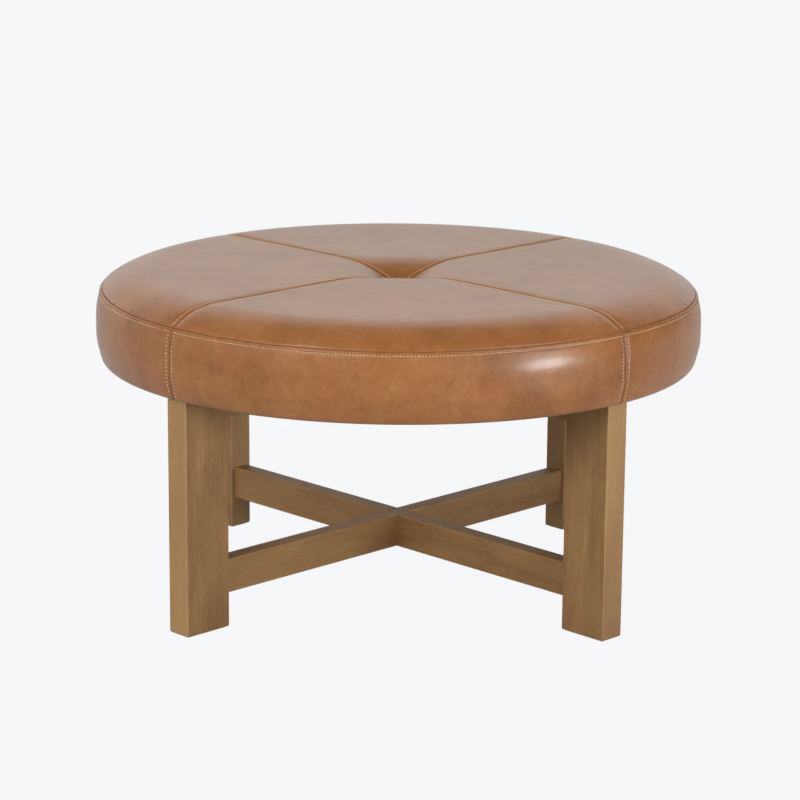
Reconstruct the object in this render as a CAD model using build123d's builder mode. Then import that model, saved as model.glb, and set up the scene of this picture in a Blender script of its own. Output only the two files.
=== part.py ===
# Round leather ottoman coffee table: a tufted drum cushion on four flat legs, which two
# half-lapped crosses tie together, one near the floor and one under the seat.
# Millimetres, +Z up. The origin is on the floor, under the middle of the seat.
from build123d import *
from math import sqrt
import os

# Legs
leg_height = 334.0  # floor to the top of the leg
leg_width = 76.0  # along the radius
leg_thickness = 38.0
leg_setback = 13.3  # outer face, in from the widest line of the cushion
leg_arris = 1.2  # sharp edges are planed off by this much
foot_arris = 2.0

# Felt pads under the feet
pad_thickness = 1.6
pad_margin = 5.0  # in from the foot's edges

# Crosses
rail_thickness = 26.0
rail_arris = 1.0
lower_rail_clear = 48.0  # floor to the lower cross
lower_rail_depth = 48.0
upper_rail_depth = 38.0
lap_clearance = 0.1
tenon_thickness = 12.0
tenon_length = 24.0
tenon_shoulder = 6.0
mortise_clearance = 0.15
mortise_end_room = 1.0

# Hexagon head screws that hold the seat on the upper cross
seat_screw_circle_radius = 250.0
seat_screw_radius = 3.0
seat_screw_head_width = 10.0  # across the flats
seat_screw_head_height = 4.0
seat_screw_bite = 12.0  # into the base board
screw_clearance = 0.3  # round the shank, in the rail

# Plywood drum inside the cushion
base_board_thickness = 15.0
drum_height = 42.0  # between the two boards
rib_thickness = 15.0
block_count = 12
block_width = 60.0
block_thickness = 22.0
block_setback = 2.0  # corners, in from the boards' edges
deck_thickness = 12.0

# Cover, seen in section: leather, with a wadding behind it that fills it out from the foam
seat_radius = 432.0  # at its widest line
widest_height = 57.0  # over the legs' tops
rim_rise = 38.5  # rim seam, over the widest line
rim_drawn_in = 8.0
side_upright = 23.0  # straight part of the side, under the widest line
foot_drawn_in = 8.2
crown_rise = 27.5  # flat of the top, over the rim seam
shoulder_width = 79.0  # rim seam to the flat of the top
tuft_reach = 88.0  # where each panel starts to dip towards the tuft, from the middle
tuft_depth = 32.0
tuft_gap = 2.5  # from the middle to where the four panels' points are cut back
leather_thickness = 1.4
seam_thickness = 2.0  # leather and wadding, pressed together where they are sewn
top_thickness = 5.0  # leather and wadding, on the flat of the top
flange_width = 20.0  # leather turned under the base board
seam_gap = 0.3

# Foam
side_padding_thickness = 18.0  # round the drum
foam_bevel_width = 50.0  # upper edge
foam_bevel_drop = 25.0
foam_pit_reach = 80.0  # pit under the tuft, from the middle to each side

# Dust cover
dust_cover_thickness = 0.6
dust_cover_lap = 18.0
dust_cover_slit = 7.0  # square cut round each screw

# Tuft twine
twine_radius = 1.5
twine_clearance = 0.3
knot_radius = 3.5
knot_height = 5.0
stitch_length = 8.0
stitch_width = 2.0
stitch_height = 1.4
stitch_clearance = 0.1
toggle_length = 44.0
toggle_width = 14.0
toggle_thickness = 6.0
tuft_pocket_clearance = 3.0

overrun = 5.0  # cutters pass the faces that they cut by this much

# Places that follow from these sizes
leg_outer = seat_radius - leg_setback
leg_inner = leg_outer - leg_width
leg_middle = leg_outer - leg_width / 2
leg_foot = pad_thickness
upper_rail_bottom = leg_height - upper_rail_depth
cover_bottom = leg_height + dust_cover_thickness
board_bottom = cover_bottom + leather_thickness
board_top = board_bottom + base_board_thickness
deck_bottom = board_top + drum_height
deck_top = deck_bottom + deck_thickness
widest = leg_height + widest_height
upright_bottom = widest - side_upright
rim_radius = seat_radius - rim_drawn_in
rim_height = widest + rim_rise
crown_height = rim_height + crown_rise
crown_radius = rim_radius - shoulder_width
tuft_bottom = crown_height - tuft_depth
foam_radius = rim_radius - seam_thickness
foam_top = crown_height - top_thickness
foam_pit_bottom = tuft_bottom - seam_thickness
board_radius = foam_radius - side_padding_thickness
flange_inner = board_radius - flange_width
dust_cover_radius = flange_inner + dust_cover_lap
block_corner = board_radius - block_setback
block_outer = sqrt(block_corner**2 - (block_width / 2) ** 2)
corner_angles = {"back_right": 45, "back_left": 135, "front_left": 225, "front_right": 315}
panel_angles = {"right": 0, "back": 90, "left": 180, "front": 270}


def keep(shape, name):
    """Labels a finished piece and writes it."""
    shape.label = name
    export_step(shape, f"parts/{name}.step")


def arc_radius(reach, fall):
    """Radius of an arc that starts along a line, reaches this far along it and falls this far."""
    return (reach**2 + fall**2) / (2 * fall)


# Each bend that shows is one arc, tangent to the upright or to the level where it starts. The foot
# turns under in two straight steps.
side_radius = arc_radius(rim_rise, rim_drawn_in)
shoulder_radius = arc_radius(shoulder_width, crown_rise)
tuft_radius = arc_radius(tuft_reach, tuft_depth)

# Corners of the section, each (distance from the axis, height)
rim = (rim_radius, rim_height)
foot_turn = (seat_radius - foot_drawn_in / 4, (upright_bottom + cover_bottom) / 2)
foot = (seat_radius - foot_drawn_in, cover_bottom)
crown_edge = (crown_radius, crown_height)
foam_bevel_top = (foam_radius - foam_bevel_width, foam_top)
foam_bevel_foot = (foam_radius, foam_top - foam_bevel_drop)


os.makedirs("parts", exist_ok=True)

# Legs, drawn on the X axis and turned to their corners. Each has two mortises in its inner face.
with BuildPart() as leg:
    with BuildSketch(Plane.XY.offset(leg_foot)):
        with Locations((leg_middle, 0)):
            Rectangle(leg_width, leg_thickness)
    extrude(amount=leg_height - leg_foot)
    chamfer(leg.edges().filter_by(Axis.Z), leg_arris)
    chamfer(leg.faces().sort_by(Axis.Z)[0].edges(), foot_arris)
    for bottom, depth in (
        (lower_rail_clear, lower_rail_depth),
        (upper_rail_bottom, upper_rail_depth),
    ):
        with BuildSketch(Plane.YZ.offset(leg_inner)):
            with Locations((0, bottom + depth / 2)):
                Rectangle(
                    tenon_thickness + 2 * mortise_clearance,
                    depth - 2 * tenon_shoulder + 2 * mortise_clearance,
                )
        extrude(amount=tenon_length + mortise_end_room, mode=Mode.SUBTRACT)
for corner, angle in corner_angles.items():
    keep(leg.part.rotate(Axis.Z, angle), f"leg_{corner}")

# Felt pads cut to the feet, one group
with BuildPart() as foot_pads:
    with BuildSketch(Plane.XY):
        with PolarLocations(leg_middle, 4, start_angle=45):
            Rectangle(leg_width - 2 * pad_margin, leg_thickness - 2 * pad_margin)
    extrude(amount=pad_thickness)
keep(foot_pads.part, "foot_pads")


def make_rail(bottom, depth, over, screwed):
    """A cross rail along X: the over rail is notched from below, the under rail from above."""
    middle = bottom + depth / 2
    with BuildPart() as rail:
        with BuildSketch(Plane.XZ):
            with Locations((leg_inner / 2, middle)):
                Rectangle(leg_inner, depth)
        extrude(amount=rail_thickness / 2, both=True)
        chamfer(rail.edges().filter_by(Axis.X), rail_arris)
        with BuildSketch(Plane.YZ.offset(leg_inner)):
            with Locations((0, middle)):
                Rectangle(tenon_thickness, depth - 2 * tenon_shoulder)
        extrude(amount=tenon_length)
        if screwed:
            with Locations(Plane((seat_screw_circle_radius, 0, bottom), z_dir=(0, 0, -1))):
                Hole(seat_screw_radius + screw_clearance, depth=depth)
        mirror(about=Plane.YZ)
        with BuildSketch(Plane.XY.offset(bottom - overrun if over else middle)):
            Rectangle(rail_thickness + 2 * lap_clearance, rail_thickness + 2 * overrun)
        extrude(amount=depth / 2 + overrun, mode=Mode.SUBTRACT)
    return rail.part


for level, bottom, depth in (
    ("lower", lower_rail_clear, lower_rail_depth),
    ("upper", upper_rail_bottom, upper_rail_depth),
):
    screwed = level == "upper"
    keep(make_rail(bottom, depth, True, screwed).rotate(Axis.Z, 45), f"{level}_rail_over")
    keep(make_rail(bottom, depth, False, screwed).rotate(Axis.Z, 135), f"{level}_rail_under")

# Hexagon head screws up through the upper cross into the base board, one group
with BuildPart() as seat_screws:
    with BuildSketch(Plane.XY.offset(upper_rail_bottom - seat_screw_head_height)):
        with PolarLocations(seat_screw_circle_radius, 4, start_angle=45):
            RegularPolygon(seat_screw_head_width / 2, 6, major_radius=False)
    extrude(amount=seat_screw_head_height)
    with BuildSketch(Plane.XY.offset(upper_rail_bottom)):
        with PolarLocations(seat_screw_circle_radius, 4, start_angle=45):
            Circle(seat_screw_radius)
    extrude(amount=board_bottom + seat_screw_bite - upper_rail_bottom)
keep(seat_screws.part, "seat_screws")

# Plywood drum: a board, blocks round its edge, two half-lapped ribs across it, and the deck
with BuildPart() as base_board:
    with BuildSketch(Plane.XY.offset(board_bottom)):
        Circle(board_radius)
    extrude(amount=base_board_thickness)
    with BuildSketch(Plane.XY.offset(board_bottom)):
        with PolarLocations(seat_screw_circle_radius, 4, start_angle=45):
            Circle(seat_screw_radius)
    extrude(amount=seat_screw_bite, mode=Mode.SUBTRACT)
keep(base_board.part, "base_board")

first_block = 180 / block_count  # degrees, clear of the ribs
with BuildPart() as rim_blocks:
    with BuildSketch(Plane.XY.offset(board_top)):
        with PolarLocations(block_outer - block_thickness / 2, block_count, start_angle=first_block):
            Rectangle(block_thickness, block_width)
    extrude(amount=drum_height)
keep(rim_blocks.part, "rim_blocks")


def make_rib(over):
    """A plywood rib along X, with room in its middle for the twine's toggle."""
    middle = board_top + drum_height / 2
    pocket_width = toggle_length + 2 * tuft_pocket_clearance
    pocket_depth = toggle_thickness + knot_height + tuft_pocket_clearance
    with BuildPart() as rib:
        with BuildSketch(Plane.XY.offset(board_top)):
            Rectangle(2 * block_outer, rib_thickness)
        extrude(amount=drum_height)
        with BuildSketch(Plane.XY.offset(board_top - overrun if over else middle)):
            Rectangle(rib_thickness + 2 * lap_clearance, rib_thickness + 2 * overrun)
        extrude(amount=drum_height / 2 + overrun, mode=Mode.SUBTRACT)
        with BuildSketch(Plane.XY.offset(deck_bottom - pocket_depth)):
            Rectangle(pocket_width, pocket_width)
        extrude(amount=pocket_depth, mode=Mode.SUBTRACT)
    return rib.part


keep(make_rib(True), "deck_rib_over")
keep(make_rib(False).rotate(Axis.Z, 90), "deck_rib_under")

with BuildPart() as deck_board:
    with BuildSketch(Plane.XY.offset(deck_bottom)):
        Circle(board_radius)
        Circle(knot_radius, mode=Mode.SUBTRACT)
    extrude(amount=deck_thickness)
keep(deck_board.part, "deck_board")

# Foam: the block that is sat on, with a bevelled edge and a pit for the tuft, and the band round
# the drum. The pit has four flat sides.
with BuildPart() as foam_pit:
    for plane, mode in ((Plane.XZ, Mode.ADD), (Plane.YZ, Mode.INTERSECT)):
        with BuildSketch(plane):
            with BuildLine():
                Polyline(
                    (-foam_pit_reach, foam_top),
                    (-tuft_gap, foam_pit_bottom),
                    (tuft_gap, foam_pit_bottom),
                    (foam_pit_reach, foam_top),
                    close=True,
                )
            make_face()
        extrude(amount=foam_pit_reach, both=True, mode=mode)

with BuildPart() as seat_foam:
    with BuildSketch(Plane.XZ):
        with BuildLine():
            Polyline(
                (0, deck_top),
                (foam_radius, deck_top),
                foam_bevel_foot,
                foam_bevel_top,
                (0, foam_top),
                close=True,
            )
        make_face()
    revolve(axis=Axis.Z)
    add(foam_pit.part, mode=Mode.SUBTRACT)
    with BuildSketch(Plane.XY.offset(deck_top)):
        Circle(twine_radius + twine_clearance)
    extrude(amount=foam_pit_bottom - deck_top, mode=Mode.SUBTRACT)
keep(seat_foam.part, "seat_foam")

with BuildPart() as side_padding:
    with BuildSketch(Plane.XY.offset(board_bottom)):
        Circle(foam_radius)
        Circle(board_radius, mode=Mode.SUBTRACT)
    extrude(amount=deck_top - board_bottom)
keep(side_padding.part, "side_padding")

# Cover: a quarter of the top and of the side, between the seams each side of the X axis, turned to
# the four sides. The dip is level along the quarter's width, so that it meets its neighbours in a
# valley on each seam.
with BuildPart() as quarter:
    half_gap = seam_gap / sqrt(2)
    with BuildSketch(Plane.XY):
        with BuildLine():
            Polyline(
                (tuft_gap, tuft_gap - half_gap),
                (seat_radius + half_gap, seat_radius),
                (seat_radius + half_gap, -seat_radius),
                (tuft_gap, half_gap - tuft_gap),
                close=True,
            )
        make_face()
    extrude(amount=crown_height)

with BuildPart() as top_panel:
    with BuildSketch(Plane.XZ):
        with BuildLine():
            RadiusArc((0, tuft_bottom), (tuft_reach, crown_height), tuft_radius)
            Polyline((tuft_reach, crown_height), crown_edge, (crown_radius, foam_top))
            Polyline((crown_radius, foam_top), (foam_pit_reach, foam_top), (tuft_gap, foam_pit_bottom))
            Polyline((tuft_gap, foam_pit_bottom), (0, foam_pit_bottom), (0, tuft_bottom))
        make_face()
    extrude(amount=crown_radius, both=True)
    with BuildSketch(Plane.XY):
        Circle(crown_radius)
    extrude(amount=crown_height, mode=Mode.INTERSECT)
    with BuildSketch(Plane.XZ):
        with BuildLine():
            RadiusArc(crown_edge, rim, shoulder_radius)
            Polyline(rim, foam_bevel_foot, foam_bevel_top, (crown_radius, foam_top), crown_edge)
        make_face()
    revolve(axis=Axis.Z)
    add(quarter.part, mode=Mode.INTERSECT)

with BuildPart() as side_panel:
    with BuildSketch(Plane.XZ):
        with BuildLine():
            RadiusArc(rim, (seat_radius, widest), side_radius)
            Polyline((seat_radius, widest), (seat_radius, upright_bottom), foot_turn, foot)
            Polyline(foot, (flange_inner, cover_bottom), (flange_inner, board_bottom))
            Polyline((flange_inner, board_bottom), (foam_radius, board_bottom), foam_bevel_foot, rim)
        make_face()
    revolve(axis=Axis.Z)
    add(quarter.part, mode=Mode.INTERSECT)

for side, angle in panel_angles.items():
    keep(top_panel.part.rotate(Axis.Z, angle), f"top_panel_{side}")
    keep(side_panel.part.rotate(Axis.Z, angle), f"side_panel_{side}")

# Tuft: a twine from a cross stitch on the cover's middle down through a toggle under the deck, and
# knotted there
with BuildPart() as tuft_toggle:
    with BuildSketch(Plane.XY.offset(deck_bottom - toggle_thickness)):
        Rectangle(toggle_length, toggle_width, rotation=45)
        Circle(twine_radius + twine_clearance, mode=Mode.SUBTRACT)
    extrude(amount=toggle_thickness)
keep(tuft_toggle.part, "tuft_toggle")

knot_top = deck_bottom - toggle_thickness
dip_at_stitch = sqrt(tuft_radius**2 - (tuft_reach - stitch_length / 2) ** 2)
stitch_base = crown_height - tuft_radius + dip_at_stitch + stitch_clearance
with BuildPart() as tuft_twine:
    with BuildSketch(Plane.XY.offset(knot_top - knot_height)):
        Circle(knot_radius)
    extrude(amount=knot_height)
    with BuildSketch(Plane.XY.offset(knot_top)):
        Circle(twine_radius)
    extrude(amount=stitch_base - knot_top)
    with BuildSketch(Plane.XY.offset(stitch_base)):
        Rectangle(stitch_length, stitch_width)
        Rectangle(stitch_width, stitch_length)
    extrude(amount=stitch_height)
keep(tuft_twine.part, "tuft_twine")

with BuildPart() as dust_cover:
    with BuildSketch(Plane.XY.offset(leg_height)):
        Circle(dust_cover_radius)
        with PolarLocations(seat_screw_circle_radius, 4, start_angle=45):
            Rectangle(dust_cover_slit, dust_cover_slit, mode=Mode.SUBTRACT)
    extrude(amount=dust_cover_thickness)
keep(dust_cover.part, "dust_cover")
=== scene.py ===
# %% [markdown]
# # A round leather ottoman on a crossed wooden base
# The frame holds the table's solids, each at its true place, in metres. Legs, rails and boards are
# flat-faced wood and stay as they are. Leather, foam, cloth and twine are soft: each is made again
# here, where its solid is, with the fullness and the seams of the real thing. We measure the frame
# first, so that every new piece takes its sizes from it.

# %% Load the frame and measure it
from math import atan2, cos, exp, hypot, pi, radians, sin, sqrt, tanh

import bpy
from mathutils import Matrix, Vector, noise
from mathutils.bvhtree import BVHTree


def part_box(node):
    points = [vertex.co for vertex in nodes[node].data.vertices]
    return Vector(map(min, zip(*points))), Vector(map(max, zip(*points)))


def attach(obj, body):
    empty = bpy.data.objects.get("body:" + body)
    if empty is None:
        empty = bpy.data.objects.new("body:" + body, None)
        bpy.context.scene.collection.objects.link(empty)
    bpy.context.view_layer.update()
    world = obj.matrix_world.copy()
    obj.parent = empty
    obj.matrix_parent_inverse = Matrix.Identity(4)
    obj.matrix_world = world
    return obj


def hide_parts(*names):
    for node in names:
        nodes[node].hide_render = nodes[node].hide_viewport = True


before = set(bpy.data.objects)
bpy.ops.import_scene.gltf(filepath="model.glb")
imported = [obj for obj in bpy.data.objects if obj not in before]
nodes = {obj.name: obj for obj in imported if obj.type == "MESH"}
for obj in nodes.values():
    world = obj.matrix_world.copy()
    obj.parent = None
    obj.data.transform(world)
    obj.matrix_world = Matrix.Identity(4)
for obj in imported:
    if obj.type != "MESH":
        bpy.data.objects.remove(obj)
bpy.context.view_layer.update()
scene = bpy.context.scene
mm = 0.001

side_low, side_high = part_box("side_panel_right")
top_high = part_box("top_panel_right")[1]
widest_radius = side_high.x
rim_radius = top_high.x
rim_height = side_high.z
crown_height = top_high.z
foot_height = side_low.z
print("cover: widest", round(widest_radius, 4), "rim", round(rim_radius, 4), round(rim_height, 4))
print("crown", round(crown_height, 4), "foot", round(foot_height, 4))

# %% [markdown]
# ## Working by hand with operators
# Operators act on whatever is selected, and the frame arrives with its nodes selected. So each step
# starts by letting go of everything and taking up one piece.

# %% Taking up a piece, and keeping it
def let_go():
    """Leave edit mode and select nothing."""
    if bpy.context.object and bpy.context.object.mode == "EDIT":
        bpy.ops.object.mode_set(mode="OBJECT")
    bpy.ops.object.select_all(action="DESELECT")


def take(piece):
    """Select one piece alone and make it the active one."""
    let_go()
    piece.select_set(True)
    bpy.context.view_layer.objects.active = piece


def edit(piece, select="SELECT"):
    """Open a piece in edit mode, with all or none of it selected."""
    take(piece)
    bpy.ops.object.mode_set(mode="EDIT")
    bpy.ops.mesh.select_all(action=select)


def apply_last(piece):
    """Apply the piece's newest modifier."""
    take(piece)
    bpy.ops.object.modifier_apply(modifier=piece.modifiers[-1].name)


def twin(piece, name):
    """A copy of a piece with its own mesh."""
    copy = piece.copy()
    copy.data = piece.data.copy()
    copy.name = name
    scene.collection.objects.link(copy)
    return copy


# %% [markdown]
# ## The photographer's place
# A long lens, a little above the table and some four metres off, keeps the upright legs upright
# and shows the top as a narrow ellipse. The angles were worked out from the legs' feet and the
# cushion's outline.

# %% Camera
camera_azimuth = radians(0.173)
camera_elevation = radians(13.848)
camera_roll = radians(0.484)
camera_distance = 4.1402
camera_target = Vector((0.00298, 0.0, 0.2625))
camera_lens = 128.86
camera_reach = 60

back = Vector((
    sin(camera_azimuth) * cos(camera_elevation),
    -cos(camera_azimuth) * cos(camera_elevation),
    sin(camera_elevation),
))
level = (-back).cross(Vector((0, 0, 1))).normalized()
upward = level.cross(-back)
right = level * cos(camera_roll) + upward * sin(camera_roll)
above = upward * cos(camera_roll) - level * sin(camera_roll)

let_go()
bpy.ops.object.camera_add()
camera = bpy.context.object
camera.matrix_world = Matrix.Translation(camera_target + back * camera_distance) @ Matrix(
    (right, above, back)
).transposed().to_4x4()
camera.data.lens = camera_lens
camera.data.clip_end = camera_reach
scene.camera = camera
scene.view_settings.view_transform = "Standard"
print("camera at", [round(part, 3) for part in camera.matrix_world.translation])

# %% [markdown]
# ## Floor, room and lamps
# The picture is taken on white paper that runs on behind the table. The floor's whiteness to the
# camera is partly its own light, given to camera and mirror rays only, so the object is lit no
# more than a plain room would light it, and the shadow stays. The room is white up to about forty
# degrees and darker above: that edge turns the cushion's rolled shoulder from pale to brown.

# %% Shader maths as sums
class Wire:
    """An output of a shader node, which Python sums can be written with."""

    def __init__(self, bench, socket):
        self.bench = bench
        self.socket = socket

    def out(self, name):
        """Another output of the same node."""
        return Wire(self.bench, self.socket.node.outputs[name])

    def maths(self, operation, first, second=0.0):
        return self.bench.add("ShaderNodeMath", {"operation": operation}, {0: first, 1: second})

    def __add__(self, other):
        return self.maths("ADD", self, other)

    def __sub__(self, other):
        return self.maths("SUBTRACT", self, other)

    def __rsub__(self, other):
        return self.maths("SUBTRACT", other, self)

    def __mul__(self, other):
        return self.maths("MULTIPLY", self, other)

    def __pow__(self, other):
        return self.maths("POWER", self, other)

    __radd__ = __add__
    __rmul__ = __mul__

    def size(self):
        return self.maths("ABSOLUTE", self)


class Bench:
    """The node tree of a material or of the world, and the one way to add a node to it."""

    def __init__(self, owner):
        owner.use_nodes = True
        self.tree = owner.node_tree
        self.tree.nodes.clear()

    def add(self, kind, settings=None, sockets=None):
        """Add a node, set its settings and then its sockets, and give its first live output."""
        node = self.tree.nodes.new(kind)
        for name, value in (settings or {}).items():
            if name == "stops":
                self.fill_ramp(node.color_ramp, value)
            else:
                setattr(node, name, value)
        for name, value in (sockets or {}).items():
            if isinstance(value, Wire):
                self.tree.links.new(value.socket, node.inputs[name])
            else:
                node.inputs[name].default_value = value
        live = [socket for socket in node.outputs if socket.enabled]
        return Wire(self, live[0]) if live else None

    def fill_ramp(self, ramp, stops):
        while len(ramp.elements) < len(stops):
            ramp.elements.new(1.0)
        for element, (place, colour) in zip(ramp.elements, stops):
            element.position = place
            parts = colour if isinstance(colour, tuple) else (colour,) * 3
            element.color = (*parts, 1.0)

    def blend(self, factor, first, second):
        """Mix the colour `second` into the colour `first`."""
        return self.add(
            "ShaderNodeMix", {"data_type": "RGBA"}, {0: factor, 6: first, 7: (*second, 1.0)}
        )

    def ramp(self, factor, stops):
        return self.add("ShaderNodeValToRGB", {"stops": stops}, {"Fac": factor})

    def cloud(self, place, scale, detail=4.0, roughness=0.55, distortion=0.0):
        """Soft noise, from 0 to 1."""
        return self.add(
            "ShaderNodeTexNoise",
            None,
            {
                "Vector": place,
                "Scale": scale,
                "Detail": detail,
                "Roughness": roughness,
                "Distortion": distortion,
            },
        )

    def place(self, turn=0.0, stretch=(1.0, 1.0, 1.0)):
        """Where we are on the object, turned about the upright axis and then stretched."""
        here = self.add("ShaderNodeTexCoord").out("Object")
        turned = self.add("ShaderNodeMapping", None, {"Vector": here, "Rotation": (0, 0, turn)})
        return self.add("ShaderNodeMapping", None, {"Vector": turned, "Scale": stretch})

    def finish(self, colour, roughness, height=None, depth=0.0, **constants):
        """A coat of the main shader, with an optional relief `depth` metres high."""
        sockets = {"Base Color": colour, "Roughness": roughness}
        sockets.update({name.replace("_", " "): value for name, value in constants.items()})
        if height is not None:
            sockets["Normal"] = self.add(
                "ShaderNodeBump", None, {"Height": height, "Distance": depth, "Strength": 1.0}
            )
        shader = self.add("ShaderNodeBsdfPrincipled", None, sockets)
        self.add("ShaderNodeOutputMaterial", None, {"Surface": shader})


def new_bench(name):
    material = bpy.data.materials.new(name)
    return material, Bench(material)


# %% White paper floor
floor_radius = 14.0
floor_drop = 0.1 * mm  # so that the felt under the feet and the paper don't share a plane
paper_white = (0.93, 0.94, 0.95)
paper_glow = 1.03
own_light = 0.95
paper_grey = (0.40, 0.40, 0.41)
mirror_share = 0.5

let_go()
bpy.ops.mesh.primitive_circle_add(
    vertices=96, radius=floor_radius, fill_type="NGON", location=(0, 0, -floor_drop)
)
floor = bpy.context.object
floor.name = "floor"
paper, bench = new_bench("paper")
rays = bench.add("ShaderNodeLightPath")
seen = rays.maths("MAXIMUM", rays.out("Is Camera Ray"), rays.out("Is Glossy Ray") * mirror_share)
seen = rays.maths("MAXIMUM", seen, rays.out("Is Transmission Ray"))
lit = bench.add("ShaderNodeBsdfDiffuse", None, {"Color": (*paper_grey, 1)})
glow = bench.add("ShaderNodeEmission", None, {"Color": (*paper_white, 1), "Strength": paper_glow})
sheet = bench.add("ShaderNodeMixShader", None, {0: seen * own_light, 1: lit, 2: glow})
bench.add("ShaderNodeOutputMaterial", None, {"Surface": sheet})
floor.data.materials.append(paper)
print("floor:", 2 * floor_radius, "m across")

# %% Room: a white wall behind the table, plain light round it, darker overhead
wall_top = (0.60, 0.74)
wall_side = (0.55, 0.85)
right_flag = (0.30, 0.72)
left_glow = (0.40, 0.85)
wall_light, room_light, overhead_light = 0.88, 0.47, 0.18
right_dimmed, left_brightened = 0.75, 0.5
room_colour = (1.0, 0.975, 0.94)

world = bpy.data.worlds.new("room")
scene.world = world
bench = Bench(world)
direction = bench.add("ShaderNodeTexCoord").out("Generated")
split = bench.add("ShaderNodeSeparateXYZ", None, {"Vector": direction})


def rising(value, ends):
    """A smooth step from 0 to 1 between two ends."""
    return bench.add(
        "ShaderNodeMapRange",
        {"interpolation_type": "SMOOTHSTEP"},
        {"Value": value, "From Min": ends[0], "From Max": ends[1]},
    )


wall = rising(split.out("Y"), wall_side)
overhead = rising(split.out("Z"), wall_top)
rays = bench.add("ShaderNodeLightPath")
white = bench.add("ShaderNodeBackground", None, {"Color": (*paper_white, 1), "Strength": 1.0})
strength = room_light + wall * (wall_light - room_light)
strength = strength * (1 - overhead) + overhead * overhead_light
strength = strength * (1 - right_dimmed * rising(split.out("X"), right_flag))
strength = strength * (1 + left_brightened * rising(split.out("X") * -1, left_glow))
dim = bench.add("ShaderNodeBackground", None, {"Color": (*room_colour, 1), "Strength": strength})
seen = bench.add("ShaderNodeMixShader", None, {0: rays.out("Is Camera Ray"), 1: dim, 2: white})
bench.add("ShaderNodeOutputWorld", None, {"Surface": seen})
print("room light:", room_light, "wall:", wall_light, "overhead:", overhead_light)

# %% [markdown]
# Waxed leather mirrors its lamps, and each highlight in the photograph tells where one stood: two
# overhead, one to the front left, and a low window to the front right. Two fill lamps only lift the
# shade, and the leather doesn't mirror them, as when a photographer hides a lamp behind a screen.
# The last two lamps have a narrow beam, so that they light the front and leave the back legs dark.

# %% Soft lamps
cushion = (0, 0, 0.4)
front_left_leg = (-0.28, -0.28, 0.20)
front_right_seam = (0.31, -0.30, 0.38)
lamps = (
    # name, place, width, height, watts, mirrored or not, what it looks at, spread in degrees
    ("soft_left", (-1.05, -0.95, 2.50), 0.45, 0.6, 10, True, cushion, 180),
    ("soft_right", (1.35, -1.00, 2.40), 0.45, 0.6, 10, True, cushion, 180),
    ("soft_front", (-1.36, -2.45, 1.68), 0.9, 0.7, 9, True, cushion, 180),
    ("fill_left", (-2.1, -2.1, 1.3), 1.2, 1.0, 22, False, cushion, 180),
    ("fill_right", (1.8, -3.0, 1.4), 1.5, 1.2, 2.2, False, front_left_leg, 40),
    ("window", (2.08, -1.52, 0.47), 0.95, 0.52, 0.84, True, front_right_seam, 26),
)


def soft_lamp(name, spot, width, tall, watts, mirrored, target, spread):
    """A flat lamp that looks at one place on the table."""
    let_go()
    bpy.ops.object.light_add(type="AREA", location=spot)
    lamp = bpy.context.object
    lamp.name = name
    lamp.rotation_euler = (Vector(target) - lamp.location).to_track_quat("-Z", "Y").to_euler()
    lamp.data.shape = "RECTANGLE"
    lamp.data.size = width
    lamp.data.size_y = tall
    lamp.data.energy = watts
    lamp.data.spread = radians(spread)
    lamp.visible_glossy = mirrored


for lamp_row in lamps:
    soft_lamp(*lamp_row)
print("lamps:", len(lamps))

# %% [markdown]
# ## Leather
# Semi-aniline hide: a dye that lets the hide's own clouds show, under a thin coat of wax. Four
# sizes of cloud carry the colour, with a ruddier cloud over them. Pebble, creases and the middle
# cloud carry the relief. An attribute that the modelling leaves on the cover paints shade into the
# seams' grooves and the needle's holes, and takes the wax out of them.

# %% Leather material
hide_tans = [
    (0.33, (0.205, 0.073, 0.017)),
    (0.46, (0.298, 0.111, 0.027)),
    (0.57, (0.365, 0.149, 0.042)),
    (0.70, (0.450, 0.203, 0.068)),
]
hide_clouds = (
    # waves per metre, detail, roughness, distortion
    (9.0, 3.0, 0.5, 0.6),
    (42.0, 5.0, 0.62, 0.8),
    (120.0, 4.0, 0.62, 1.0),
    (420.0, 3.0, 0.6, 0.0),
)
ruddy_cloud = (30.0, 4.0, 0.6, 0.5)
ruddy_share = [(0.46, 0.0), (0.66, 0.45)]
ruddy_tan = (0.375, 0.126, 0.036)
crease_cloud = (150.0, 5.0, 0.65, 1.2)
pebble_scale = 620.0
# the brown of the shade painted into the seams' grooves and the needle's holes, and how much of it
painted_shade_brown = (0.085, 0.032, 0.013)
painted_shade_share = 0.5
hide_relief = 0.28 * mm
wax = 0.20


def make_leather():
    material, bench = new_bench("leather")
    here = bench.place()
    broad, middle, small, fine = [bench.cloud(here, *cloud) for cloud in hide_clouds]
    mottle = broad * 0.34 + middle * 0.32 + small * 0.24 + fine * 0.10
    colour = bench.ramp(mottle, hide_tans)
    ruddy = bench.ramp(bench.cloud(here, *ruddy_cloud), ruddy_share)
    colour = bench.blend(ruddy, colour, ruddy_tan)
    # painted shade: the seams' grooves and the needle's holes are darkened in the colour, and lose
    # their wax
    groove = bench.add("ShaderNodeAttribute", {"attribute_name": "groove"}).out("Fac")
    colour = bench.blend(groove * painted_shade_share, colour, painted_shade_brown)
    pebble = bench.add(
        "ShaderNodeTexVoronoi", {"feature": "SMOOTH_F1"}, {"Vector": here, "Scale": pebble_scale}
    ).out("Distance")
    crease = bench.cloud(here, *crease_cloud)
    height = pebble * 0.35 + crease * 0.45 + middle * 0.8
    roughness = 0.20 + middle * 0.14 + fine * 0.08 + groove * 0.4
    glaze = wax * (1 - groove)
    bench.finish(
        colour, roughness, height, hide_relief, IOR=1.5, Coat_Weight=glaze, Coat_Roughness=0.14
    )
    return material


leather = make_leather()
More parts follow.
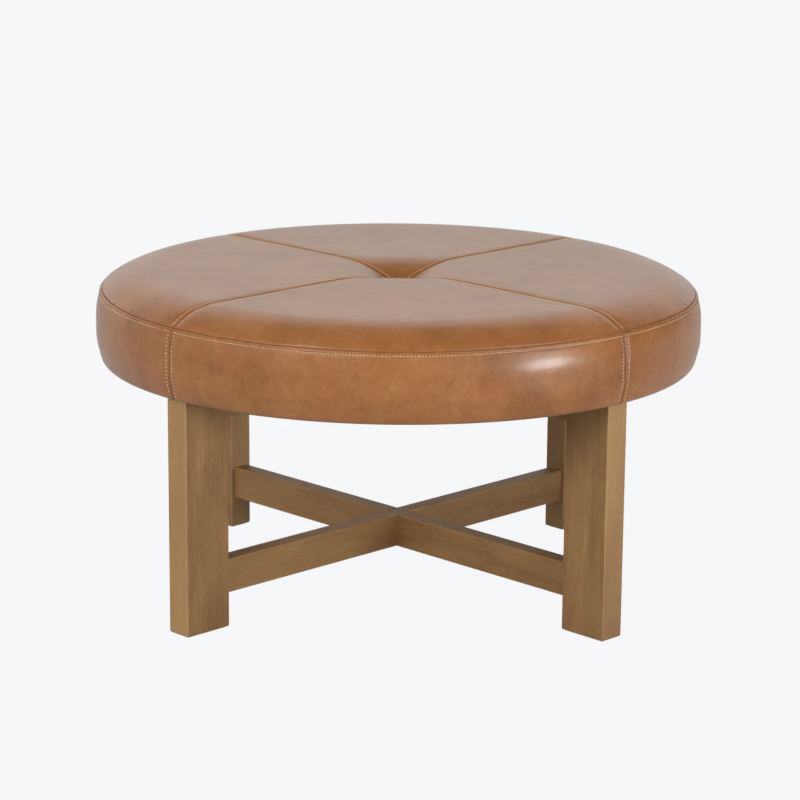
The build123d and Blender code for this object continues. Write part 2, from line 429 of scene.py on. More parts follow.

# %% [markdown]
# ## Wood
# The legs and rails are stained grey-brown under a matt lacquer, with fine straight grain. Grain is
# noise drawn out along the board, so each board needs its own direction: legs run upright, and the
# rails run along the two diagonals. Narrow faces show the lighter quarter grain, and the planed
# arrises, whose normals lie between two axes, are painted lighter still, partly as rub wear and
# partly as the painted highlight that a chamfer catches.

# %% Wood materials
wood_browns = [
    (0.30, (0.178, 0.084, 0.026)),
    (0.46, (0.300, 0.154, 0.053)),
    (0.57, (0.372, 0.201, 0.074)),
    (0.72, (0.470, 0.275, 0.113)),
]
quarter_brown = (0.50, 0.305, 0.135)
# the arrises' colour: partly rub wear, partly a painted highlight
arris_wear_and_highlight_brown = (0.56, 0.36, 0.17)
quarter_share, arris_gain, arris_wear_and_highlight_share = 0.40, 1.6, 0.55
wood_relief = 0.3 * mm


def make_wood(name, turn, along, narrow_axis):
    """Wood whose grain runs along one axis, once the piece is turned square to the axes."""
    material, bench = new_bench(name)

    def grain(length, width, detail=5.0):
        """Noise drawn out along the grain, in metres."""
        stretch = [1 / width] * 3
        stretch["XYZ".index(along)] = 1 / length
        return bench.cloud(bench.place(turn, tuple(stretch)), 1.0, detail, 0.6, 0.4)

    blotch = grain(0.120, 0.045, 3.0)
    fibre = grain(0.090, 0.0026)
    pores = grain(0.012, 0.0009, 2.0)
    tone = blotch * 0.44 + fibre * 0.32 + pores * 0.24
    colour = bench.ramp(tone, wood_browns)
    normal = bench.add("ShaderNodeTexCoord").out("Normal")
    turned = bench.add("ShaderNodeMapping", None, {"Vector": normal, "Rotation": (0, 0, turn)})
    split = bench.add("ShaderNodeSeparateXYZ", None, {"Vector": turned})
    sides = [split.out(axis).size() for axis in "XYZ"]
    facing = sides["XYZ".index(narrow_axis)]
    colour = bench.blend(facing**4 * quarter_share, colour, quarter_brown)
    # the arrises are painted lighter, partly as rub wear and partly as a painted highlight
    arris = (sides[0] * sides[1] + sides[1] * sides[2] + sides[2] * sides[0]) * arris_gain
    colour = bench.blend(arris * arris_wear_and_highlight_share, colour, arris_wear_and_highlight_brown)
    bench.finish(colour, 0.46 + fibre * 0.16, fibre * 0.4 + pores * 0.6, wood_relief, IOR=1.48)
    return material


leg_wood_over = make_wood("wood_legs_front_left", radians(-45), "Z", "X")
leg_wood_under = make_wood("wood_legs_front_right", radians(45), "Z", "X")
rail_wood_over = make_wood("wood_rail_over", radians(-45), "X", "X")
rail_wood_under = make_wood("wood_rail_under", radians(45), "X", "X")
print("woods:", leg_wood_over.name, leg_wood_under.name, rail_wood_over.name, rail_wood_under.name)

# %% [markdown]
# ## The plain materials
# Plywood shows its plies on its edges, so it is striped by height. Foam, felt, dust cloth and twine
# are matt and get their look from relief. Zinc is the only metal here.

# %% Plywood, foam, felt, cloth, twine, zinc and thread
def make_plywood():
    material, bench = new_bench("plywood")
    ply = bench.cloud(bench.place(0.0, (2.0, 2.0, 700.0)), 1.0, 1.0)
    grain = bench.cloud(bench.place(0.4, (6.0, 160.0, 160.0)), 1.0, 5.0, 0.6, 0.3)
    stripes = [(0.35, (0.38, 0.25, 0.13)), (0.65, (0.66, 0.50, 0.31))]
    colour = bench.ramp(ply * 0.5 + grain * 0.5, stripes)
    bench.finish(colour, 0.62 + grain * 0.1, grain, 0.2 * mm)
    return material


def make_foam():
    material, bench = new_bench("foam")
    here = bench.place()
    cells = bench.add("ShaderNodeTexVoronoi", {"feature": "F1"}, {"Vector": here, "Scale": 700.0})
    cells = cells.out("Distance")
    age = bench.cloud(here, 12.0)
    yellowed = [(0.3, (0.62, 0.54, 0.36)), (0.7, (0.83, 0.78, 0.63))]
    colour = bench.ramp(age * 0.7 + cells * 0.3, yellowed)
    bench.finish(colour, 0.92, cells, 0.6 * mm)
    return material


def make_fibres(name, dark, light, scale, depth):
    """Felt, cloth or twine: matted fibres between two colours."""
    material, bench = new_bench(name)
    strands = bench.cloud(bench.place(), scale, 6.0, 0.7, 1.5)
    colour = bench.ramp(strands, [(0.35, dark), (0.65, light)])
    bench.finish(colour, 0.86, strands, depth)
    return material


def make_zinc():
    material, bench = new_bench("zinc")
    spangle = bench.cloud(bench.place(), 300.0, 4.0, 0.6)
    colour = bench.ramp(spangle, [(0.3, (0.50, 0.50, 0.49)), (0.7, (0.70, 0.70, 0.69))])
    bench.finish(colour, 0.28 + spangle * 0.2, spangle, 0.05 * mm, Metallic=1.0)
    return material


def make_thread():
    material, bench = new_bench("thread")
    twist = bench.cloud(bench.place(), 900.0, 3.0, 0.6)
    colour = bench.ramp(twist, [(0.3, (0.62, 0.42, 0.24)), (0.7, (0.88, 0.67, 0.44))])
    bench.finish(colour, 0.38, twist, 0.1 * mm)
    return material


plywood = make_plywood()
foam = make_foam()
felt = make_fibres("felt", (0.05, 0.04, 0.03), (0.16, 0.12, 0.09), 500.0, 0.4 * mm)
black, charcoal = (0.016, 0.016, 0.017), (0.050, 0.050, 0.053)
dust_cloth = make_fibres("dust_cloth", black, charcoal, 260.0, 0.3 * mm)
twine = make_fibres("twine", (0.30, 0.22, 0.13), (0.62, 0.52, 0.37), 900.0, 0.3 * mm)
zinc = make_zinc()
thread = make_thread()
print("materials:", len(bpy.data.materials))

# %% Give the frame's own nodes their materials
finishes = {
    "leg_front_left": leg_wood_over,
    "leg_back_right": leg_wood_over,
    "leg_front_right": leg_wood_under,
    "leg_back_left": leg_wood_under,
    "lower_rail_over": rail_wood_over,
    "upper_rail_over": rail_wood_over,
    "lower_rail_under": rail_wood_under,
    "upper_rail_under": rail_wood_under,
    "foot_pads": felt,
    "seat_screws": zinc,
    "base_board": plywood,
    "rim_blocks": plywood,
    "deck_rib_over": plywood,
    "deck_rib_under": plywood,
    "deck_board": plywood,
    "tuft_toggle": plywood,
}
for name, material in finishes.items():
    for place in nodes[name].material_slots:
        place.material = material
print("nodes finished:", len(finishes))

# %% [markdown]
# ## The cover's panels
# An upholsterer cuts four pies for the top and four bands for the side, sews them, draws the cover
# over the foam and staples it below. A panel could be sculpted freely, but its outer edge is an arc
# about the table's axis. So it starts as a line of points, its section, spun through a quarter
# turn, and the top is let down towards the tuft. It is then blown up like a cushion while its sewn
# edges are held, as the foam does to the real cover, and the seams are pressed in afterwards.

# %% The section's arcs
tuft_reach = 88 * mm
tuft_depth = 32 * mm
shoulder_width = 79 * mm
crown_radius = rim_radius - shoulder_width
tuft_radius = (tuft_reach**2 + tuft_depth**2) / (2 * tuft_depth)
crown_rise = crown_height - rim_height
shoulder_radius = (shoulder_width**2 + crown_rise**2) / (2 * crown_rise)


def top_height(out, across_panel):
    """Height of the top, `out` from the middle, where its panel has come `across_panel`."""
    if across_panel < tuft_reach:
        return crown_height - tuft_radius + sqrt(tuft_radius**2 - (tuft_reach - across_panel) ** 2)
    if out > crown_radius:
        return crown_height - shoulder_radius + sqrt(shoulder_radius**2 - (out - crown_radius) ** 2)
    return crown_height


widest_height = 391 * mm
side_upright = 23 * mm
foot_drawn_in = 8.2 * mm
foot_radius = widest_radius - foot_drawn_in
rim_drawn_in = widest_radius - rim_radius
rim_rise = rim_height - widest_height
side_radius = (rim_drawn_in**2 + rim_rise**2) / (2 * rim_drawn_in)
print("shoulder radius", round(shoulder_radius, 4), "side radius", round(side_radius, 4))

# %% Draw a line and spin it
seed_size = 10 * mm
merge_distance = 0.01 * mm
inside_panel = Vector((0.25, 0, 0.38))


def drawn_line(name, points):
    """A plane is merged to one point, which is extruded from place to place."""
    let_go()
    bpy.ops.mesh.primitive_plane_add(size=seed_size, location=points[0])
    line = bpy.context.object
    line.name = name
    bpy.ops.object.transform_apply()
    edit(line)
    bpy.ops.mesh.merge(type="CENTER")
    for here, there in zip(points, points[1:]):
        bpy.ops.mesh.extrude_region_move(TRANSFORM_OT_translate={"value": there - here})
    return line


def spin_quarter(line, columns):
    """Spin the line about the table's axis, from seam to seam, with its faces looking out."""
    edit(line)
    bpy.ops.mesh.spin(steps=columns, angle=radians(90), center=(0, 0, 0), axis=(0, 0, 1))
    bpy.ops.mesh.select_all(action="SELECT")
    bpy.ops.mesh.remove_doubles(threshold=merge_distance)
    bpy.ops.mesh.normals_make_consistent(inside=False)
    bpy.ops.object.mode_set(mode="OBJECT")
    outward = sum((face.center - inside_panel).dot(face.normal) for face in line.data.polygons)
    if outward < 0:
        edit(line)
        bpy.ops.mesh.flip_normals()
        bpy.ops.object.mode_set(mode="OBJECT")


# %% Top panel, before filling
columns = 72
seam_angle = radians(45)
tuft_gap = 2.5 * mm
top_rows = 46
crowding = 1.1  # over 1, the rows lie closer together at the tuft


def at_seam(out, height):
    """A point over the panel's first seam. The spin runs clockwise from it, seen from above."""
    return Vector((out * cos(seam_angle), out * sin(seam_angle), height))


row_places = [
    tuft_gap + (rim_radius - tuft_gap) * (row / top_rows) ** crowding for row in range(top_rows + 1)
]
top_blank = drawn_line("top_blank", [at_seam(out, crown_height) for out in row_places])
spin_quarter(top_blank, columns)
for vertex in top_blank.data.vertices:
    vertex.co.z = top_height(hypot(vertex.co.x, vertex.co.y), vertex.co.x)
print("blank top panel:", len(top_blank.data.polygons), "faces")

# %% Side panel, before filling
arc_steps = 7
upright_steps = 4
foot_steps = 8
flange_steps = 5
foot_curve = 1.7  # over 1, the side turns in late
foot_margin = 2 * mm  # the side ends here, over the leather that is turned under
roll_drop = 1.8 * mm
roll_places = ((0.6 * mm, 0.4), (1.9 * mm, 1.0), (3.3 * mm, 0.7))  # in from the foot, share of drop
legs_reach = 419.4 * mm  # the legs' corners, which the roll stays outside
flange_inner = 384 * mm

side_section = []
arc_angle = 2 * atan2(rim_drawn_in, rim_rise)
for step in range(arc_steps):
    lean = arc_angle * (1 - step / arc_steps)
    side_section.append((
        widest_radius - side_radius * (1 - cos(lean)),
        widest_height + side_radius * sin(lean),
    ))
upright_bottom = widest_height - side_upright
for step in range(upright_steps):
    side_section.append((widest_radius, widest_height - side_upright * step / upright_steps))
for step in range(foot_steps + 1):
    share = step / foot_steps
    side_section.append((
        widest_radius - (widest_radius - foot_radius) * share**foot_curve,
        upright_bottom - (upright_bottom - foot_height - foot_margin) * share,
    ))
for inward, share in roll_places:
    side_section.append((foot_radius - inward, foot_height - share * roll_drop))
for step in range(flange_steps + 1):
    share = step / flange_steps
    side_section.append((legs_reach + (flange_inner - legs_reach) * share, foot_height))
side_blank = drawn_line("side_blank", [at_seam(out, height) for out, height in side_section])
spin_quarter(side_blank, columns)
print("blank side panel:", len(side_blank.data.polygons), "faces")

# %% [markdown]
# ## Filling
# Cloth with pressure stands for the foam behind the leather. The panel starts a little under its
# full size, its edges are pinned, and each point may swell only so far, with a soft limit, so that
# the filled panel reaches the frame's outline and no further. Drawing a bulge by hand would be
# quicker, but it wouldn't flatten towards the held edges as stretched leather does.

# %% Fill a panel
swell = 1.8 * mm
swell_border = 12 * mm  # the swelling fades over this distance from the rim and the foot
air_pressure = 1000.0
sim_frames = 20


def edge_points(piece):
    """The points on the open border of a piece."""
    edit(piece)
    bpy.ops.mesh.region_to_loop()
    bpy.ops.object.mode_set(mode="OBJECT")
    return [vertex.index for vertex in piece.data.vertices if vertex.select]


def shift(piece, how_far):
    """Move each point along its normal by how_far(point), in metres."""
    moves = [vertex.normal * how_far(vertex) for vertex in piece.data.vertices]
    for vertex, move in zip(piece.data.vertices, moves):
        vertex.co += move


def from_rim(point):
    """Distance from the rim seam."""
    return hypot(hypot(point.x, point.y) - rim_radius, point.z - rim_height)


def room_to_swell(vertex):
    """How far a point starts under its full place: not at all at the rim, or turned under."""
    above_foot = (vertex.co.z - foot_height - foot_margin) / swell_border
    return swell * min(1.0, max(0.0, above_foot), from_rim(vertex.co) / swell_border)


def fill(piece, held):
    """Blow a panel up between its held points."""
    shift(piece, lambda vertex: -room_to_swell(vertex))
    start = [vertex.co.copy() for vertex in piece.data.vertices]
    sewn = piece.vertex_groups.new(name="sewn")
    sewn.add(held, 1.0, "REPLACE")
    take(piece)
    bpy.ops.object.modifier_add(type="CLOTH")
    cloth = piece.modifiers[-1]
    cloth.point_cache.frame_end = sim_frames
    cloth.settings.vertex_group_mass = sewn.name
    cloth.settings.use_pressure = True
    cloth.settings.uniform_pressure_force = air_pressure
    cloth.settings.effector_weights.gravity = 0
    cloth.settings.bending_stiffness = 2.0
    cloth.settings.tension_stiffness = 5.0
    cloth.settings.compression_stiffness = 5.0
    cloth.settings.shrink_min = -0.05
    for moment in range(1, sim_frames + 1):
        scene.frame_set(moment)
    apply_last(piece)
    scene.frame_set(1)
    for vertex, was in zip(piece.data.vertices, start):
        move = vertex.co - was
        if move.length > 0:
            vertex.co = was + move * (swell * tanh(move.length / swell) / move.length)
    piece.vertex_groups.clear()


top_held = edge_points(top_blank)
side_held = edge_points(side_blank)
held_under = foot_height + foot_margin / 2
side_held += [v.index for v in side_blank.data.vertices if v.co.z < held_under]
fill(top_blank, top_held)
fill(side_blank, side_held)
print("filled: top reaches", round(max(v.co.z for v in top_blank.data.vertices), 4))
print("filled: side reaches", round(max(v.co.x for v in side_blank.data.vertices), 4))

# %% [markdown]
# ## Seams
# A seam's turned edges roll down into a narrow groove, and the rows of topstitching beside it draw
# the leather down to the padding between one stitch and the next. That is detail of a millimetre,
# so the mesh is divided again, near the seams only, and laid back on a smooth copy of itself.

# %% Refine a panel near its seams
fine_band = 8.8 * mm
coarse_edge = 2.0 * mm
tuft_clear = 14 * mm
seam_bottom = foot_height + 3 * mm


def from_radial_seam(point):
    """Distance from the nearer upright seam plane, for the panel that looks along X."""
    return (point.x - abs(point.y)) / sqrt(2)


def smoothed(piece):
    """Subdivide a panel once, and keep its corners sharp, because four panels meet there."""
    take(piece)
    bpy.ops.object.modifier_add(type="SUBSURF")
    piece.modifiers[-1].levels = piece.modifiers[-1].render_levels = 1
    piece.modifiers[-1].boundary_smooth = "PRESERVE_CORNERS"
    apply_last(piece)


def refine(piece, near_seam):
    """Smooth the panel once, then divide it by four near the seams, on its own smooth shape."""
    smoothed(piece)
    smooth = twin(piece, "smooth_copy")
    smoothed(smooth)
    edit(piece, "DESELECT")
    bpy.ops.object.mode_set(mode="OBJECT")
    corners = piece.data.vertices
    for face in piece.data.polygons:
        long_side = max((corners[a].co - corners[b].co).length for a, b in face.edge_keys)
        face.select = long_side > coarse_edge and near_seam(face.center)
    bpy.ops.object.mode_set(mode="EDIT")
    bpy.ops.mesh.subdivide(number_cuts=3)
    bpy.ops.object.mode_set(mode="OBJECT")
    bpy.ops.object.modifier_add(type="SHRINKWRAP")
    piece.modifiers[-1].target = smooth
    apply_last(piece)
    bpy.data.objects.remove(smooth)


def near_top_seam(point):
    clear = hypot(point.x, point.y) > tuft_clear
    return clear and min(from_radial_seam(point), from_rim(point)) < fine_band


def near_side_seam(point):
    clear = point.z > seam_bottom
    return clear and min(from_radial_seam(point), from_rim(point)) < fine_band


refine(top_blank, near_top_seam)
refine(side_blank, near_side_seam)
print("refined:", len(top_blank.data.polygons), len(side_blank.data.polygons), "faces")

# %% [markdown]
# Holes, dents and stitches have to fall at the same places, so each seam gets a scale of its own:
# how many stitches a point has come along it. Round the rim that is an angle, and down the side a
# height. A top seam dips into the tuft, so its length is added up over the leather in short steps.

# %% Count the stitches along each seam
stitch_pitch = 4.7 * mm
stitch_line = 5.7 * mm  # the row's distance from its seam
run_step = 0.5 * mm

rim_count = 4 * round(pi * rim_radius / 2 / stitch_pitch)
row_lean = atan2(rim_drawn_in, rim_rise)
row_height = rim_height - stitch_line * cos(row_lean)


def seam_height(out):
    """Height of a top seam, `out` from the middle."""
    return top_height(out, out / sqrt(2))


seam_run = [0.0]
while len(seam_run) * run_step < rim_radius + run_step:
    out = len(seam_run) * run_step
    seam_run.append(seam_run[-1] + hypot(run_step, seam_height(out) - seam_height(out - run_step)))
print("a top seam is", round(seam_run[-1], 3), "m long on the leather")
print("stitches round the rim:", rim_count)


def run_of_rim(point):
    """How many stitches a point is round the rim, from the middle of its panel."""
    return rim_count * atan2(point.y, point.x) / (2 * pi)


def run_of_top_seam(point):
    """How many stitches a point is along the nearer top seam, measured over the leather."""
    out = (point.x + abs(point.y)) / sqrt(2)
    return seam_run[min(len(seam_run) - 1, round(out / run_step))] / stitch_pitch


def run_of_upright(point):
    """How many stitches a point is below the rim row."""
    return (row_height - point.z) / stitch_pitch


# %% Press the seams in
rim_groove = 2.2 * mm
panel_groove = 1.2 * mm
groove_width = 2.6 * mm
groove_shade = 1.2 * mm
stitch_dent = 0.9 * mm
dent_mean, dent_wave = 0.55, 0.45
stitch_spread = 1.5 * mm
hole_spread = 1.0 * mm
hole_shade = 0.9
seam_half_gap = 0.15 * mm
roll_out, roll_down = 0.79, 0.61  # between the slopes of the top and of the side at the rim
swell_relief, swell_scale, swell_fade = 0.6 * mm, 38, 14 * mm
pucker_relief, pucker_scale, pucker_fade = 0.4 * mm, 120, 6 * mm


def rolled(away):
    """How far a turned edge has rolled down, from 0 to 1 in the seam."""
    return max(0.0, 1 - away / groove_width) ** 2


def stitch_draw(away, run):
    """How far a row of stitches draws the leather down, most at the holes between them."""
    scallop = dent_mean - dent_wave * cos(2 * pi * run)
    return stitch_dent * exp(-(((away - stitch_line) / stitch_spread) ** 2)) * scallop


def hole(away, run):
    """How near a point is to a needle's hole, from 0 to 1."""
    return exp(-(((away - stitch_line) / hole_spread) ** 2)) * max(0.0, -cos(2 * pi * run))


def gather(point, away):
    """Slight uneven fullness beside a seam, the same on both edges that are sewn together."""
    place = Vector((point.x, abs(point.y), point.z))
    swells = swell_relief * noise.noise(place * swell_scale) * exp(-away / swell_fade)
    puckers = pucker_relief * noise.noise(place * pucker_scale) * exp(-away / pucker_fade)
    return swells + puckers


def press_top(vertex):
    point = vertex.co
    rim, radial = from_rim(point), from_radial_seam(point)
    drop = panel_groove * rolled(radial) * (1 - rolled(rim))
    drop += stitch_draw(radial, run_of_top_seam(point))
    return gather(point, min(rim, radial)) - drop


def press_side(vertex):
    point = vertex.co
    rim, radial = from_rim(point), from_radial_seam(point)
    if point.z < foot_height + foot_margin:
        return 0.0
    drop = panel_groove * rolled(radial) * (1 - rolled(rim))
    drop += stitch_draw(rim, run_of_rim(point)) + stitch_draw(radial, run_of_upright(point))
    return gather(point, min(rim, radial)) - drop


def roll_rim(piece):
    """Both panels roll down into the rim seam, in the direction between their two slopes."""
    for vertex in piece.data.vertices:
        depth = rim_groove * rolled(from_rim(vertex.co))
        if depth > 0:
            share = roll_out / vertex.co.xy.length
            vertex.co -= depth * Vector((share * vertex.co.x, share * vertex.co.y, roll_down))


def holes_of_top(point):
    return hole(from_radial_seam(point), run_of_top_seam(point))


def holes_of_side(point):
    upright = hole(from_radial_seam(point), run_of_upright(point))
    return max(hole(from_rim(point), run_of_rim(point)), upright)


def mark_and_clear(piece, holes):
    """Note the shade painted at each point, by seams and needle holes, and stop the panel at its
    seams.
    """
    # painted shade: how dark the leather is painted near a seam and at each needle hole
    shade = piece.data.attributes.new("groove", "FLOAT", "POINT")
    for vertex, mark in zip(piece.data.vertices, shade.data):
        point = vertex.co
        nearest = min(from_rim(point), from_radial_seam(point))
        mark.value = max(0.0, 1 - nearest / groove_shade, hole_shade * holes(point))
        over = sqrt(2) * seam_half_gap - (point.x - abs(point.y))
        if over > 0:
            point.x += over


def close_seam(piece, distances):
    """Bring the points by a radial seam back to the distance from it that they had."""
    for vertex, was in zip(piece.data.vertices, distances):
        share = max(0.0, 1 - was / (2 * groove_width))
        move = share * (was - from_radial_seam(vertex.co)) / sqrt(2)
        vertex.co.x += move
        vertex.co.y -= move if vertex.co.y > 0 else -move


for blank, holes, press in (
    (top_blank, holes_of_top, press_top),
    (side_blank, holes_of_side, press_side),
):
    mark_and_clear(blank, holes)
    distances = [from_radial_seam(vertex.co) for vertex in blank.data.vertices]
    shift(blank, press)
    roll_rim(blank)
    close_seam(blank, distances)
print("pressed:", len(top_blank.data.vertices), len(side_blank.data.vertices), "points")

# %% [markdown]
# One top panel and one side panel are enough: the others are copies, turned about the table's axis.
# No cushion is filled quite evenly, though, and in the photograph the rim stands a few millimetres
# higher in some places. So each copy is settled by a table of eight heights round the rim.

# %% Give the panels their thickness and set them round the table
leather_thickness = 3.6 * mm
crease_angle = radians(55)
sides = {"right": 0, "back": 90, "left": 180, "front": 270}
settle_from = 330 * mm
lifts = [1.0 * mm, 0, 0, 1.2 * mm, 4.2 * mm, 3.2 * mm, 1.5 * mm, 3.5 * mm]
eighth_turn = radians(45)


def thicken(piece):
    """Leather and its wadding, inwards from the outer face."""
    take(piece)
    bpy.ops.object.modifier_add(type="SOLIDIFY")
    piece.modifiers[-1].thickness = leather_thickness
    piece.modifiers[-1].offset = -1
    apply_last(piece)
    bpy.ops.object.shade_smooth_by_angle(angle=crease_angle)


def smooth_step(value):
    """From 0 to 1, level at both ends."""
    share = min(1.0, max(0.0, value))
    return share * share * (3 - 2 * share)


def settle(point):
    """How far the filling holds the rim up, from eight places round it, the right one first."""
    out = point.xy.length
    eighth = atan2(point.y, point.x) / eighth_turn % len(lifts)
    first = int(eighth) % len(lifts)
    change = lifts[(first + 1) % len(lifts)] - lifts[first]
    lift = lifts[first] + change * smooth_step(eighth - int(eighth))
    near_rim = smooth_step((out - settle_from) / (rim_radius - settle_from))
    near_top = smooth_step((point.z - foot_height) / (rim_height - foot_height))
    return lift * near_rim * near_top


def set_round(blank, kind):
    """Four copies of a panel, turned about the table's axis and settled as the filling holds it."""
    made = []
    for side, angle in sides.items():
        piece = twin(blank, f"{kind}_{side}_leather")
        piece.data.transform(Matrix.Rotation(radians(angle), 4, "Z"))
        for vertex in piece.data.vertices:
            vertex.co.z += settle(vertex.co)
        made.append(piece)
        piece.data.materials.clear()
        piece.data.materials.append(leather)
        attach(piece, "root")
        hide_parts(f"{kind}_{side}")
    return made


thicken(top_blank)
thicken(side_blank)
top_panels = set_round(top_blank, "top_panel")
side_panels = set_round(side_blank, "side_panel")
for blank in (top_blank, side_blank):
    bpy.data.objects.remove(blank)
print("panels:", len(top_panels) + len(side_panels))

# %% [markdown]
# ## Topstitching
# Some fourteen hundred stitches in a light thread run beside the seams. One stitch is modelled, a
# short rod with rounded ends, and copied onto the leather wherever a ray meets it. Painted stitches
# would be lighter, but these catch the light and cast their own small shadows. All the stitches of
# one kind of seam are one piece.

# %% One stitch
thread_radius = 0.68 * mm
stitch_length = 2.7 * mm

let_go()
bpy.ops.mesh.primitive_cylinder_add(vertices=6, radius=thread_radius, depth=stitch_length)
stitch = bpy.context.object
edit(stitch)
bpy.ops.mesh.bevel(offset=thread_radius * 0.5, segments=1, affect="EDGES")
bpy.ops.transform.rotate(value=radians(90), orient_axis="Y", center_override=(0, 0, 0))
bpy.ops.object.mode_set(mode="OBJECT")
print("one stitch:", len(stitch.data.polygons), "faces", [round(d, 5) for d in stitch.dimensions])

# %% A surface to find places on, and a way to lay copies
def skin_of(pieces):
    """All the panels as one surface to cast rays on."""
    corners, faces = [], []
    for piece in pieces:
        first = len(corners)
        corners += [vertex.co.copy() for vertex in piece.data.vertices]
        faces += [[first + index for index in face.vertices] for face in piece.data.polygons]
    return BVHTree.FromPolygons(corners, faces)


top_skin = skin_of(top_panels)
side_skin = skin_of(side_panels)


def lay(name, shape, spots, finish):
    """Copy a shape to each (point, outward normal, direction), all as one piece."""
    corners, faces = [], []
    shape_corners = [vertex.co.copy() for vertex in shape.data.vertices]
    shape_faces = [tuple(face.vertices) for face in shape.data.polygons]
    for point, normal, direction in spots:
        run = (direction - normal * direction.dot(normal)).normalized()
        turn = Matrix((run, normal.cross(run), normal)).transposed()
        first = len(corners)
        corners += [point + turn @ corner for corner in shape_corners]
        faces += [tuple(first + index for index in face) for face in shape_faces]
    mesh = bpy.data.meshes.new(name)
    mesh.from_pydata(corners, [], faces)
    row = bpy.data.objects.new(name, mesh)
    scene.collection.objects.link(row)
    mesh.materials.append(finish)
    take(row)
    bpy.ops.object.shade_smooth()
    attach(row, "root")
    print(name, len(spots), "copies,", len(faces), "faces")


# %% Find where the stitches lie
ray_start = 0.6
rim_proud, row_proud = 0.25, -0.2  # how far the middle of the thread stands out, in its radii
first_stitch = 5  # the top rows begin this many stitches from the middle
rim_clear = 2.5 * mm


def sink(hit, normal, proud):
    """A stitch lies in the leather, its middle `proud` of its radius above it."""
    return hit + normal * thread_radius * proud


rim_spots = []
for number in range(rim_count):
    angle = 2 * pi * number / rim_count
    outward = Vector((cos(angle), sin(angle), 0))
    foot_of_row = outward * rim_radius + Vector((0, 0, row_height))
    height = row_height + settle(foot_of_row)
    hit, normal = side_skin.ray_cast(outward * ray_start + Vector((0, 0, height)), -outward)[:2]
    if hit:
        along = Vector((-sin(angle), cos(angle), 0))
        rim_spots.append((sink(hit, normal, rim_proud), normal, along))

upright_spots, radial_spots = [], []
for corner in range(4):
    angle = radians(45 + 90 * corner)
    outward = Vector((cos(angle), sin(angle), 0))
    sideways = Vector((-sin(angle), cos(angle), 0))
    for hand in (-1, 1):
        offset = sideways * stitch_line * hand
        height = row_height - stitch_pitch
        while height > seam_bottom:
            start = outward * ray_start + offset + Vector((0, 0, height))
            start.z += settle(outward * widest_radius + Vector((0, 0, height)))
            hit, normal = side_skin.ray_cast(start, -outward)[:2]
            if hit:
                upright_spots.append((sink(hit, normal, row_proud), normal, Vector((0, 0, 1))))
            height -= stitch_pitch
        wanted = first_stitch * stitch_pitch
        for number, run in enumerate(seam_run):
            out = number * run_step
            if run < wanted or out > rim_radius - rim_clear:
                continue
            wanted += stitch_pitch
            start = outward * out + offset + Vector((0, 0, ray_start))
            hit, normal = top_skin.ray_cast(start, Vector((0, 0, -1)))[:2]
            if hit:
                radial_spots.append((sink(hit, normal, row_proud), normal, outward))

# %% Lay the rows
lay("rim_stitches", stitch, rim_spots, thread)
lay("upright_stitches", stitch, upright_spots, thread)
lay("radial_stitches", stitch, radial_spots, thread)
bpy.data.objects.remove(stitch)

# %% [markdown]
# ## Under the seat
# Foam and padding are hidden by the cover, but they are made as foam all the same: the frame's
# solid is copied, its corners are softened by remeshing and smoothing, and it gets the foam's skin.
# The twine of the tuft is softened in the same way, with far smaller cells.

# %% Soften the hidden foam and the twine
foam_slack = 3.5 * mm


def soften(node, name, material, cell, rounds, slack=0.0):
    """A soft copy of a solid: merged, remeshed at `cell` metres, smoothed and shrunk by `slack`."""
    piece = twin(nodes[node], name)
    piece.parent = None
    edit(piece)
    bpy.ops.mesh.remove_doubles(threshold=merge_distance)
    bpy.ops.object.mode_set(mode="OBJECT")
    piece.data.remesh_voxel_size = cell
    bpy.ops.object.voxel_remesh()
    bpy.ops.object.modifier_add(type="SMOOTH")
    piece.modifiers[-1].iterations = rounds
    piece.modifiers[-1].factor = 0.5
    apply_last(piece)
    shift(piece, lambda vertex: -slack)
    bpy.ops.object.shade_smooth()
    piece.data.materials.clear()
    piece.data.materials.append(material)
    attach(piece, "root")
    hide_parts(node)
    print(name, len(piece.data.polygons), "faces")
    return piece


seat_foam = soften("seat_foam", "seat_foam_block", foam, 7 * mm, 6, foam_slack)
side_foam = soften("side_padding", "side_foam_band", foam, 6 * mm, 3, foam_slack)
soften("tuft_twine", "tuft_tie", twine, 0.4 * mm, 3)

# %% [markdown]
# A thin dust cloth closes the seat below. It could be a flat disc, but cloth is never quite flat,
# so it is inset ring by ring to have points that can ripple. It is stapled round its edge to the
# leather that is turned under, except in the four places where the seat stands on its legs.

# %% Dust cloth
dust_low, dust_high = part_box("dust_cover")
cloth_radius = dust_high.x
cloth_gauge = 0.4 * mm
ripple = 0.05 * mm
ripple_scale = 30
ring_count = 24
ring_width = cloth_radius / (ring_count + 1.5)
cloth_crease = radians(50)

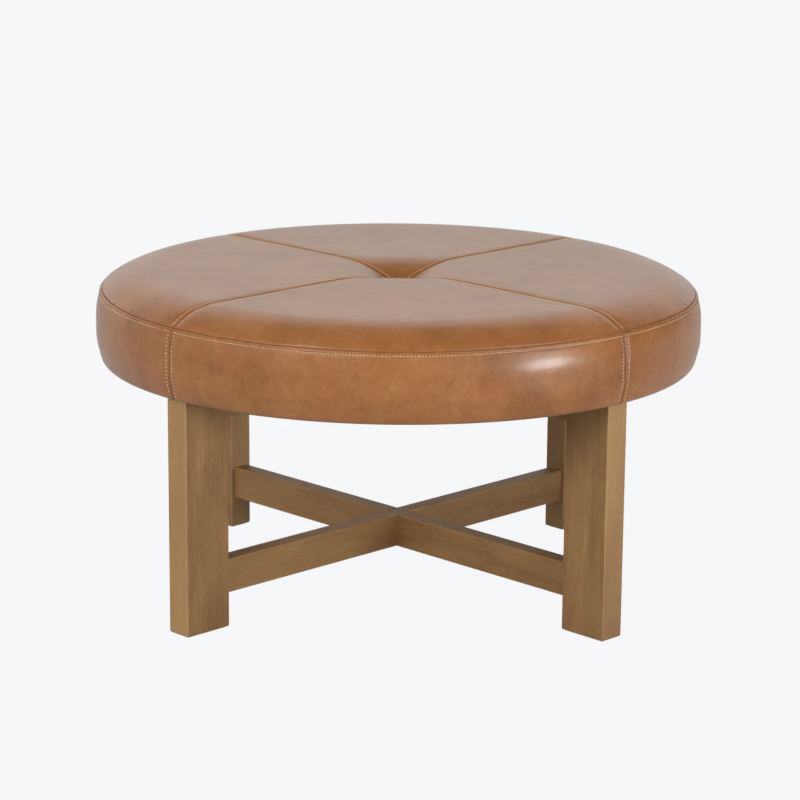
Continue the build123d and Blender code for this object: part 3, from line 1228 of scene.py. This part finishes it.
let_go()
bpy.ops.mesh.primitive_circle_add(
    vertices=160, radius=cloth_radius, fill_type="NGON", location=(0, 0, dust_high.z - ripple)
)
cloth = bpy.context.object
cloth.name = "dust_cloth"
bpy.ops.object.transform_apply()
edit(cloth)
for ring in range(ring_count):
    bpy.ops.mesh.inset(thickness=ring_width)
bpy.ops.object.mode_set(mode="OBJECT")
for vertex in cloth.data.vertices:
    here = Vector((vertex.co.x, vertex.co.y, 0))
    vertex.co.z -= ripple * (1 + noise.noise(here * ripple_scale))
take(cloth)
bpy.ops.object.modifier_add(type="SOLIDIFY")
cloth.modifiers[-1].thickness = cloth_gauge
cloth.modifiers[-1].offset = -1
apply_last(cloth)
bpy.ops.object.shade_smooth_by_angle(angle=cloth_crease)
cloth.data.materials.append(dust_cloth)
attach(cloth, "root")
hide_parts("dust_cover")
print("dust cloth:", len(cloth.data.polygons), "faces")

# %% Staples round the dust cloth
staple_size = (10 * mm, 1.2 * mm, 0.7 * mm)
staple_edge = 0.2 * mm
staple_sunk = 0.1 * mm
staple_circle = cloth_radius - 5 * mm
staple_count = 84
leg_clear = 26 * mm

let_go()
bpy.ops.mesh.primitive_cube_add(size=1, location=(0, 0, 0))
staple = bpy.context.object
staple.scale = staple_size
bpy.ops.object.transform_apply()
edit(staple)
bpy.ops.mesh.bevel(offset=staple_edge, segments=1, affect="EDGES")
bpy.ops.object.mode_set(mode="OBJECT")

staple_spots = []
for number in range(staple_count):
    angle = 2 * pi * (number + 0.5) / staple_count
    outward = Vector((cos(angle), sin(angle), 0))
    spot = outward * staple_circle + Vector((0, 0, dust_low.z - staple_sunk))
    from_leg = abs(abs(spot.x) - abs(spot.y)) / sqrt(2)
    if from_leg > leg_clear:
        along = Vector((-sin(angle), cos(angle), 0))
        staple_spots.append((spot, Vector((0, 0, 1)), along))
lay("cloth_staples", staple, staple_spots, zinc)
bpy.data.objects.remove(staple)

# %% [markdown]
# ## Finish
# The dressed table has to stay inside the frame's box, apart from the little that leather may stand
# proud.

# %% Finish: let go of the selection
let_go()
